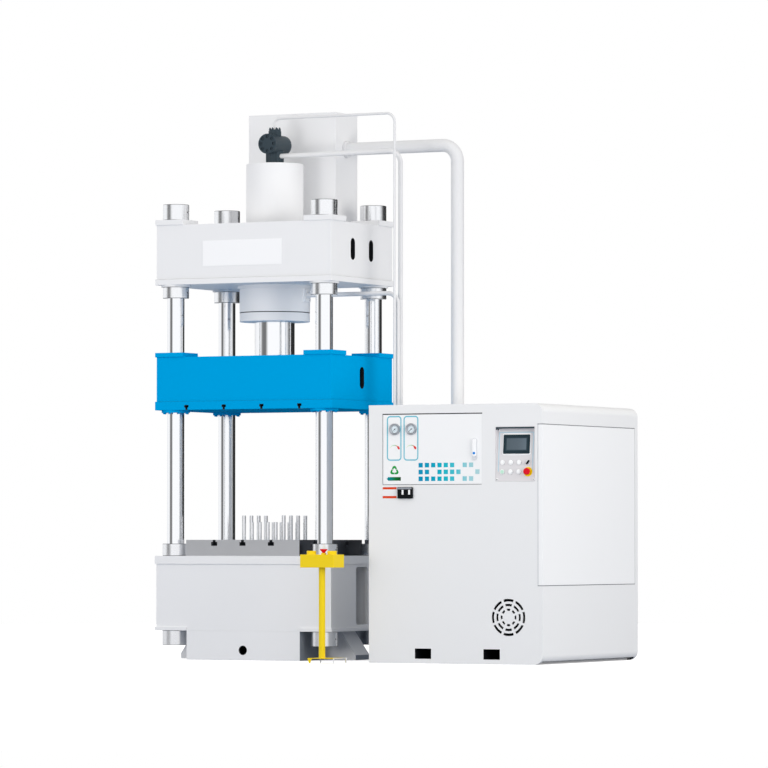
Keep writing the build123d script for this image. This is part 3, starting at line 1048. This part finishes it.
with BuildPart() as control_panel:
    with BuildSketch(PANEL_PLANE):
        with Locations((PANEL_CLEAR, 1)):
            Rectangle(PANEL_WIDTH - 2 * PANEL_CLEAR, PANEL_SLOPE - 4, align=(Align.MIN, Align.MIN))
    extrude(amount=-PANEL_SHEET)
    for left in (PANEL_CLEAR, PANEL_WIDTH - PANEL_CLEAR - 3):
        with BuildSketch(Plane.YZ.offset(CABINET_LEFT + PANEL_LEFT + left)):
            with BuildLine():
                Polyline(
                    (CABINET_FRONT, PANEL_BOTTOM + PANEL_CLEAR),
                    (CABINET_FRONT + 8, PANEL_BOTTOM + PANEL_CLEAR),
                    (CABINET_FRONT + PANEL_RECESS + 6, PANEL_BOTTOM + PANEL_HEIGHT - PANEL_CLEAR),
                    (CABINET_FRONT, PANEL_BOTTOM + PANEL_HEIGHT - PANEL_CLEAR), close=True)
            make_face()
        extrude(amount=3)
    with Locations((CABINET_LEFT + PANEL_LEFT + PANEL_CLEAR, CABINET_FRONT,
                    PANEL_BOTTOM + PANEL_HEIGHT - PANEL_CLEAR - 3)):
        Box(PANEL_WIDTH - 2 * PANEL_CLEAR, PANEL_RECESS + 6, 3, align=CORNER)
    with BuildSketch(PANEL_PLANE):
        with Locations(*BUTTON_SPOTS, SELECTOR_SPOT):
            Circle(BUTTON_CAP / 2 + BUTTON_FIT)
        with Locations(STOP_SPOT):
            Circle(STOP_STEM / 2 + BUTTON_FIT)
    extrude(amount=-PANEL_SHEET, mode=Mode.SUBTRACT)
control_panel.part.label = "control_panel"
export_step(control_panel.part, "parts/control_panel.step")

SCREEN_WIDTH = 158.0
SCREEN_HEIGHT = 88.0
SCREEN_BEZEL_WIDTH = 188.0
SCREEN_BEZEL_HEIGHT = 124.0
SCREEN_CENTRE = (PANEL_WIDTH / 2 + 2, 242.0)

with BuildPart() as hmi_unit:
    with BuildSketch(PANEL_PLANE):
        with Locations(SCREEN_CENTRE):
            RectangleRounded(SCREEN_BEZEL_WIDTH, SCREEN_BEZEL_HEIGHT, 6)
    extrude(amount=6)
    with BuildSketch(PANEL_PLANE.offset(5)):
        with Locations(SCREEN_CENTRE):
            Rectangle(SCREEN_WIDTH, SCREEN_HEIGHT)
    extrude(amount=2, mode=Mode.SUBTRACT)
hmi_unit.part.label = "hmi_unit"
export_step(hmi_unit.part, "parts/hmi_unit.step")

with BuildPart() as button_rings:
    with BuildSketch(PANEL_PLANE):
        with Locations(*BUTTON_SPOTS, SELECTOR_SPOT):
            Circle(BUTTON_RING / 2)
            Circle(BUTTON_CAP / 2 + BUTTON_FIT, mode=Mode.SUBTRACT)
    extrude(amount=BUTTON_RING_HEIGHT)
    with BuildSketch(PANEL_PLANE):
        with Locations(STOP_SPOT):
            Circle(BUTTON_RING / 2 - 2)
            Circle(STOP_STEM / 2 + BUTTON_FIT, mode=Mode.SUBTRACT)
    extrude(amount=9)
    with BuildSketch(PANEL_PLANE):
        with Locations(STOP_SPOT):
            Circle(STOP_DISC / 2)
            Circle(STOP_STEM / 2 + BUTTON_FIT, mode=Mode.SUBTRACT)
    extrude(amount=2)
button_rings.part.label = "button_rings"
export_step(button_rings.part, "parts/button_rings.step")

# Six push buttons of one shape, each on its own spring
BUTTON_NAMES = ("button_a", "button_b", "button_c", "button_d", "button_e", "button_f")

for name, spot in zip(BUTTON_NAMES, BUTTON_SPOTS):
    with BuildPart() as push_button:
        with BuildSketch(PANEL_PLANE.offset(-12)):
            with Locations(spot):
                Circle(BUTTON_CAP / 2)
        extrude(amount=19)
    push_button.part.label = name
    export_step(push_button.part, "parts/" + name + ".step")

with BuildPart() as selector_knob:
    with BuildSketch(PANEL_PLANE.offset(-12)):
        with Locations(SELECTOR_SPOT):
            Circle(BUTTON_CAP / 2)
    extrude(amount=18)
    with BuildSketch(PANEL_PLANE.offset(6)):
        with Locations(SELECTOR_SPOT):
            RectangleRounded(7, 22, 2)
    extrude(amount=10)
selector_knob.part.label = "selector_knob"
export_step(selector_knob.part, "parts/selector_knob.step")

with BuildPart() as panel_stop:
    with BuildSketch(PANEL_PLANE.offset(-16)):
        with Locations(STOP_SPOT):
            Circle(STOP_STEM / 2)
    extrude(amount=34)
    with BuildSketch(PANEL_PLANE.offset(16)):
        with Locations(STOP_SPOT):
            Circle(STOP_HEAD / 2)
    extrude(amount=14)
    chamfer(panel_stop.edges().filter_by(GeomType.CIRCLE).group_by(Axis.Y)[0], 3)
panel_stop.part.label = "panel_stop"
export_step(panel_stop.part, "parts/panel_stop.step")

# Twin switch block under the door
SWITCH_LEFT = 218.0
SWITCH_BOTTOM = 1076.0
SWITCH_WIDTH = 107.0
SWITCH_HEIGHT = 75.0
SWITCH_PROUD = 16.0
LEVER_SPOTS = ((257.0, 1117.0), (305.0, 1117.0))
LEVER_WIDTH = 12.0
LEVER_LENGTH = 31.0

with BuildPart() as switch_block:
    with BuildSketch(FRONT_PLANE):
        with Locations((SWITCH_LEFT + SWITCH_WIDTH / 2, SWITCH_BOTTOM + SWITCH_HEIGHT / 2)):
            RectangleRounded(SWITCH_WIDTH, SWITCH_HEIGHT, 5)
    extrude(amount=SWITCH_PROUD)
    with BuildSketch(FRONT_PLANE.offset(1)):
        with Locations(*LEVER_SPOTS):
            Rectangle(LEVER_WIDTH + 2, LEVER_LENGTH + 8)
    extrude(amount=SWITCH_PROUD, mode=Mode.SUBTRACT)
    with Locations(*[(CABINET_LEFT + x, CABINET_FRONT - 10, z) for x, z in LEVER_SPOTS]):
        Cylinder(2, LEVER_WIDTH + 6, rotation=(0, 90, 0))
switch_block.part.label = "switch_block"
export_step(switch_block.part, "parts/switch_block.step")

for name, spot in zip(("switch_lever_left", "switch_lever_right"), LEVER_SPOTS):
    with BuildPart() as switch_lever:
        with BuildSketch(FRONT_PLANE.offset(6)):
            with Locations(spot):
                Rectangle(LEVER_WIDTH, LEVER_LENGTH)
        extrude(amount=13)
        with Locations((CABINET_LEFT + spot[0], CABINET_FRONT - 10, spot[1])):
            Cylinder(2 + RUNNING_FIT, LEVER_WIDTH + 6, rotation=(0, 90, 0), mode=Mode.SUBTRACT)
    switch_lever.part.label = name
    export_step(switch_lever.part, "parts/" + name + ".step")

# Cooling fan behind the grille
FAN_SIZE = 258.0
FAN_DEPTH = 52.0
FAN_BORE = 244.0
FAN_BLADES = 6

with BuildPart() as fan_housing:
    with BuildSketch(FRONT_PLANE.offset(-CABINET_WALL)):
        with Locations((GRILLE_X, GRILLE_Z)):
            RectangleRounded(FAN_SIZE, FAN_SIZE, 16)
            Circle(FAN_BORE / 2, mode=Mode.SUBTRACT)
    extrude(amount=-FAN_DEPTH)
    with BuildSketch(FRONT_PLANE.offset(-CABINET_WALL - FAN_DEPTH + 8)):
        with Locations((GRILLE_X, GRILLE_Z)):
            Circle(44)
            Rectangle(FAN_BORE + 6, 14)
            Rectangle(14, FAN_BORE + 6)
    extrude(amount=-8)
    with BuildSketch(FRONT_PLANE.offset(-CABINET_WALL)):
        with Locations((GRILLE_X, GRILLE_Z)):
            Circle(5 + RUNNING_FIT)
    extrude(amount=-FAN_DEPTH - 10, mode=Mode.SUBTRACT)
fan_housing.part.label = "fan_housing"
export_step(fan_housing.part, "parts/fan_housing.step")

FAN_Y = CABINET_FRONT + CABINET_WALL + 6.0
HUB_DIAMETER = 80.0
HUB_LENGTH = 34.0
FAN_SHAFT = 10.0
FAN_SHAFT_LENGTH = 46.0
BLADE_MIDDLE = 74.0
BLADE_LENGTH = 80.0
BLADE_SHEET = 3.0
BLADE_CHORD = 48.0
BLADE_TWIST = 35.0

with BuildPart() as fan_rotor:
    with Locations(Location((CABINET_LEFT + GRILLE_X, FAN_Y, GRILLE_Z), (-90, 0, 0))):
        Cylinder(HUB_DIAMETER / 2, HUB_LENGTH, align=ON_FLOOR)
        Cylinder(FAN_SHAFT / 2, FAN_SHAFT_LENGTH, align=ON_FLOOR)
    for turn in range(FAN_BLADES):
        angle = 360 / FAN_BLADES * turn
        with Locations(Location((CABINET_LEFT + GRILLE_X, FAN_Y + HUB_LENGTH / 2, GRILLE_Z), (0, angle, 0))):
            with Locations(Location((BLADE_MIDDLE, 0, 0), (BLADE_TWIST, 0, 0))):
                Box(BLADE_LENGTH, BLADE_SHEET, BLADE_CHORD)
fan_rotor.part.label = "fan_rotor"
export_step(fan_rotor.part, "parts/fan_rotor.step")

# Oil tank, pump, valves and electrics inside the cabinet
with BuildPart() as oil_tank:
    with Locations((CABINET_LEFT + OIL_LEFT, CABINET_FRONT + OIL_FRONT, CABINET_FLOOR)):
        Box(OIL_WIDTH, OIL_DEPTH, OIL_HEIGHT, align=CORNER)
    with Locations((CABINET_LEFT + OIL_LEFT + OIL_WALL, CABINET_FRONT + OIL_FRONT + OIL_WALL,
                    CABINET_FLOOR + OIL_WALL)):
        Box(OIL_WIDTH - 2 * OIL_WALL, OIL_DEPTH - 2 * OIL_WALL, OIL_HEIGHT - OIL_WALL, align=CORNER,
            mode=Mode.SUBTRACT)
    with Locations((CABINET_LEFT + OIL_LEFT - 8, CABINET_FRONT + OIL_FRONT - 8, CABINET_FLOOR + OIL_HEIGHT)):
        Box(OIL_WIDTH + 16, OIL_DEPTH + 16, OIL_LID, align=CORNER)
    with Locations((SUCTION_X, SUCTION_Y, OIL_LID_TOP - OIL_LID - 1)):
        Cylinder(SUCTION_DIAMETER / 2 - 8, OIL_LID + 2, align=ON_FLOOR, mode=Mode.SUBTRACT)
oil_tank.part.label = "oil_tank"
export_step(oil_tank.part, "parts/oil_tank.step")

MOTOR_INSET = 260.0
MOTOR_BACK_GAP = 350.0
MOTOR_X = CABINET_LEFT + OIL_LEFT + OIL_WIDTH - MOTOR_INSET
MOTOR_Y = CABINET_FRONT + CABINET_DEPTH - MOTOR_BACK_GAP
MOTOR_DIAMETER = 300.0
MOTOR_LENGTH = 440.0
MOTOR_FOOT = 25.0
MOTOR_Z = OIL_LID_TOP + MOTOR_DIAMETER / 2 + MOTOR_FOOT
FIN_HEIGHT = 12.0
FIN_PITCH = 30.0
FIN_COUNT = 12
FIN_START = 40.0
BELL_DIAMETER = 230.0
BELL_LENGTH = 130.0
PUMP_DIAMETER = 150.0
PUMP_LENGTH = 160.0
MOTOR_BASE = (320.0, 260.0, 60.0)
TERMINAL_BOX = (150.0, 120.0, 70.0)
TERMINAL_SHIFT = 60.0

with BuildPart() as pump_unit:
    motor_end = MOTOR_X - MOTOR_LENGTH / 2
    with Locations(Location((motor_end, MOTOR_Y, MOTOR_Z), (0, 90, 0))):
        Cylinder(MOTOR_DIAMETER / 2 - FIN_HEIGHT, MOTOR_LENGTH, align=ON_FLOOR)
    with Locations(*[Location((motor_end + FIN_START + FIN_PITCH * i, MOTOR_Y, MOTOR_Z), (0, 90, 0))
                     for i in range(FIN_COUNT)]):
        Cylinder(MOTOR_DIAMETER / 2, FIN_PITCH / 3, align=ON_FLOOR)
    with Locations(Location((motor_end - BELL_LENGTH, MOTOR_Y, MOTOR_Z), (0, 90, 0))):
        Cylinder(BELL_DIAMETER / 2, BELL_LENGTH, align=ON_FLOOR)
    with Locations(Location((motor_end - BELL_LENGTH - PUMP_LENGTH, MOTOR_Y, MOTOR_Z), (0, 90, 0))):
        Cylinder(PUMP_DIAMETER / 2, PUMP_LENGTH, align=ON_FLOOR)
    with Locations((MOTOR_X, MOTOR_Y, OIL_LID_TOP)):
        Box(*MOTOR_BASE, align=ON_FLOOR)
    with Locations((MOTOR_X + TERMINAL_SHIFT, MOTOR_Y, MOTOR_Z + MOTOR_DIAMETER / 2 - FIN_HEIGHT - 2)):
        Box(*TERMINAL_BOX, align=ON_FLOOR)
pump_unit.part.label = "pump_unit"
export_step(pump_unit.part, "parts/pump_unit.step")

VALVE_INSET = 200.0
VALVE_SETBACK = 150.0
VALVE_X = CABINET_LEFT + OIL_LEFT + VALVE_INSET
VALVE_Y = CABINET_FRONT + OIL_FRONT + VALVE_SETBACK
MANIFOLD = (240.0, 160.0, 210.0)
VALVE_BODY = (70.0, 150.0, 62.0)
VALVE_SPREAD = 60.0
CARTRIDGE_DIAMETER = 68.0
CARTRIDGE_LENGTH = 70.0

with BuildPart() as valve_block:
    with Locations((VALVE_X, VALVE_Y, OIL_LID_TOP)):
        Box(*MANIFOLD, align=ON_FLOOR)
    with Locations(*[(VALVE_X + s * VALVE_SPREAD, VALVE_Y, OIL_LID_TOP + MANIFOLD[2]) for s in (-1, 1)]):
        Box(*VALVE_BODY, align=ON_FLOOR)
    with Locations(*[Location((VALVE_X + s * VALVE_SPREAD, VALVE_Y - MANIFOLD[1] / 2,
                               OIL_LID_TOP + MANIFOLD[2] / 3), (90, 0, 0)) for s in (-1, 1)]):
        Cylinder(CARTRIDGE_DIAMETER / 2, CARTRIDGE_LENGTH, align=ON_FLOOR)
valve_block.part.label = "valve_block"
export_step(valve_block.part, "parts/valve_block.step")

# Mounting plate with relays and drives behind the gauge door
PLATE_SET = 180.0
PLATE_SHEET = 4.0
RELAYS = 9
RELAY_PITCH = (DOOR_WIDTH - 170.0) / RELAYS
RELAY_DEPTH = 70.0
RELAY_HEIGHT = 90.0
RELAY_Z = DOOR_BOTTOM + 265.0
DRIVES = 5
DRIVE_PITCH = (DOOR_WIDTH - 78.0) / DRIVES
DRIVE_DEPTH = 90.0
DRIVE_HEIGHT = 110.0
DRIVE_Z = DOOR_BOTTOM + 95.0
DOOR_CENTRE_X = CABINET_LEFT + DOOR_LEFT + DOOR_WIDTH / 2

with BuildPart() as electrics_plate:
    with BuildSketch(FRONT_PLANE.offset(-PLATE_SET)):
        with Locations((DOOR_LEFT + 2, DOOR_BOTTOM + 2)):
            Rectangle(DOOR_WIDTH - 4, DOOR_HEIGHT - 4, align=(Align.MIN, Align.MIN))
    extrude(amount=-PLATE_SHEET)
    with BuildSketch(FRONT_PLANE.offset(-DOOR_LIP_DEPTH - 4)):
        with Locations(*[(DOOR_LEFT + DOOR_WIDTH / 2 + sx * (DOOR_WIDTH / 2 - DOOR_LIP / 2),
                          DOOR_BOTTOM + DOOR_HEIGHT / 2 + sz * (DOOR_HEIGHT / 2 - DOOR_LIP / 2))
                         for sx in (-1, 1) for sz in (-1, 1)]):
            Circle(7)
    extrude(amount=-(PLATE_SET - DOOR_LIP_DEPTH - 4))
    for count, pitch, depth, height, z in ((RELAYS, RELAY_PITCH, RELAY_DEPTH, RELAY_HEIGHT, RELAY_Z),
                                           (DRIVES, DRIVE_PITCH, DRIVE_DEPTH, DRIVE_HEIGHT, DRIVE_Z)):
        row = [DOOR_CENTRE_X + pitch * (i - (count - 1) / 2) for i in range(count)]
        with Locations(*[(x, CABINET_FRONT + PLATE_SET - depth / 2, z) for x in row]):
            Box(0.86 * pitch, depth, height)
electrics_plate.part.label = "electrics_plate"
export_step(electrics_plate.part, "parts/electrics_plate.step")

# Two-hand pedestal
STAND_WIDTH = 192.0
STAND_FRONT = 23.0
STAND_BACK = 167.0
STAND_HEIGHT = 31.0
STAND_SHEET = 3.0
POST_DIAMETER = 42.6
COLLAR_PITCH = 152.0
COLLAR_SHIFT = -2.0
COLLAR_OUTER = 62.0
COLLAR_INNER = 51.0
COLLAR_GUARD = 24.0
PALM_HEAD = 46.0
PALM_HEAD_HEIGHT = 12.0
PALM_STEM = 18.0
PALM_TRAVEL = 8.0
MUSHROOM_SHIFT = 12.0
MUSHROOM_TOP = 50.0
MUSHROOM_NECK = 24.0
MUSHROOM_BASE = 34.0
MUSHROOM_STEM = 20.0
STAND_CENTRE_Y = PEDESTAL_Y + (STAND_BACK - STAND_FRONT) / 2
COLLAR_XS = [PEDESTAL_X + COLLAR_SHIFT + side * COLLAR_PITCH / 2 for side in (-1, 1)]
MUSHROOM_X = PEDESTAL_X + MUSHROOM_SHIFT

with BuildPart() as pedestal_stand:
    with Locations((PEDESTAL_X, STAND_CENTRE_Y, STAND_HEIGHT)):
        Box(STAND_WIDTH, STAND_FRONT + STAND_BACK, STAND_SHEET, align=ON_FLOOR)
    with Locations((PEDESTAL_X, PEDESTAL_Y, STAND_HEIGHT + STAND_SHEET)):
        Cylinder(POST_DIAMETER / 2, BOX_TOP - BOX_HEIGHT - STAND_HEIGHT - STAND_SHEET, align=ON_FLOOR)
    # bent-down feet at the corners
    with BuildSketch(Plane(origin=(PEDESTAL_X, PEDESTAL_Y - STAND_FRONT, 0), x_dir=(1, 0, 0),
                           z_dir=(0, -1, 0))):
        with BuildLine():
            Polyline((-STAND_WIDTH / 2, STAND_HEIGHT + 1), (-STAND_WIDTH / 2 + 32, STAND_HEIGHT + 1),
                     (-STAND_WIDTH / 2 + 20, 0), (-STAND_WIDTH / 2 + 12, 0), close=True)
        make_face()
    extrude(amount=-STAND_SHEET)
    for side, near, far in ((1, STAND_BACK - 18, STAND_BACK), (-1, STAND_BACK - 18, STAND_BACK),
                            (1, -STAND_FRONT, 12 - STAND_FRONT)):
        with BuildSketch(Plane.YZ.offset(PEDESTAL_X + side * STAND_WIDTH / 2)):
            with BuildLine():
                Polyline((PEDESTAL_Y + near, STAND_HEIGHT + 1), (PEDESTAL_Y + far, STAND_HEIGHT + 1),
                         (PEDESTAL_Y + far - 4, 0), (PEDESTAL_Y + near + 4, 0), close=True)
            make_face()
        extrude(amount=-side * STAND_SHEET)
pedestal_stand.part.label = "pedestal_stand"
export_step(pedestal_stand.part, "parts/pedestal_stand.step")

with BuildPart() as pedestal_box:
    with Locations((PEDESTAL_X, PEDESTAL_Y, BOX_TOP - BOX_HEIGHT)):
        Box(BOX_WIDTH, BOX_DEPTH, BOX_HEIGHT, align=ON_FLOOR)
    fillet(pedestal_box.edges().filter_by(Axis.Z), 5)
    chamfer(pedestal_box.faces().sort_by(Axis.Z)[-1].edges(), 1.5)
    with Locations(*[(x, PEDESTAL_Y, BOX_TOP) for x in COLLAR_XS]):
        Cylinder(COLLAR_OUTER / 2, COLLAR_GUARD, align=ON_FLOOR)
        Cylinder(COLLAR_INNER / 2, COLLAR_GUARD, align=ON_FLOOR, mode=Mode.SUBTRACT)
    with Locations(*[(x, PEDESTAL_Y, BOX_TOP - 50) for x in COLLAR_XS]):
        Cylinder(PALM_STEM / 2 + RUNNING_FIT, 51, align=ON_FLOOR, mode=Mode.SUBTRACT)
    with Locations((MUSHROOM_X, PEDESTAL_Y, BOX_TOP)):
        Cylinder(MUSHROOM_BASE / 2, 10, align=ON_FLOOR)
    with Locations((MUSHROOM_X, PEDESTAL_Y, BOX_TOP - 50)):
        Cylinder(MUSHROOM_STEM / 2 + RUNNING_FIT, 61, align=ON_FLOOR, mode=Mode.SUBTRACT)
pedestal_box.part.label = "pedestal_box"
export_step(pedestal_box.part, "parts/pedestal_box.step")

for name, x in zip(("palm_button_left", "palm_button_right"), COLLAR_XS):
    with BuildPart() as palm_button:
        with Locations((x, PEDESTAL_Y, BOX_TOP - 36)):
            Cylinder(PALM_STEM / 2, 50, align=ON_FLOOR)
        with Locations((x, PEDESTAL_Y, BOX_TOP + 1.5 + PALM_TRAVEL)):
            Cylinder(PALM_HEAD / 2, PALM_HEAD_HEIGHT, align=ON_FLOOR)
        chamfer(palm_button.edges().filter_by(GeomType.CIRCLE).sort_by(Axis.Z)[-1], 3)
    palm_button.part.label = name
    export_step(palm_button.part, "parts/" + name + ".step")

with BuildPart() as pedestal_stop:
    with Locations((MUSHROOM_X, PEDESTAL_Y, BOX_TOP - 36)):
        Cylinder(MUSHROOM_STEM / 2, 53.5, align=ON_FLOOR)
    with Locations((MUSHROOM_X, PEDESTAL_Y, BOX_TOP + 17)):
        Cone(MUSHROOM_NECK / 2, MUSHROOM_TOP / 2, 15, align=ON_FLOOR)
    with Locations((MUSHROOM_X, PEDESTAL_Y, BOX_TOP + 32)):
        Cylinder(MUSHROOM_TOP / 2, 4, align=ON_FLOOR)
pedestal_stop.part.label = "pedestal_stop"
export_step(pedestal_stop.part, "parts/pedestal_stop.step")
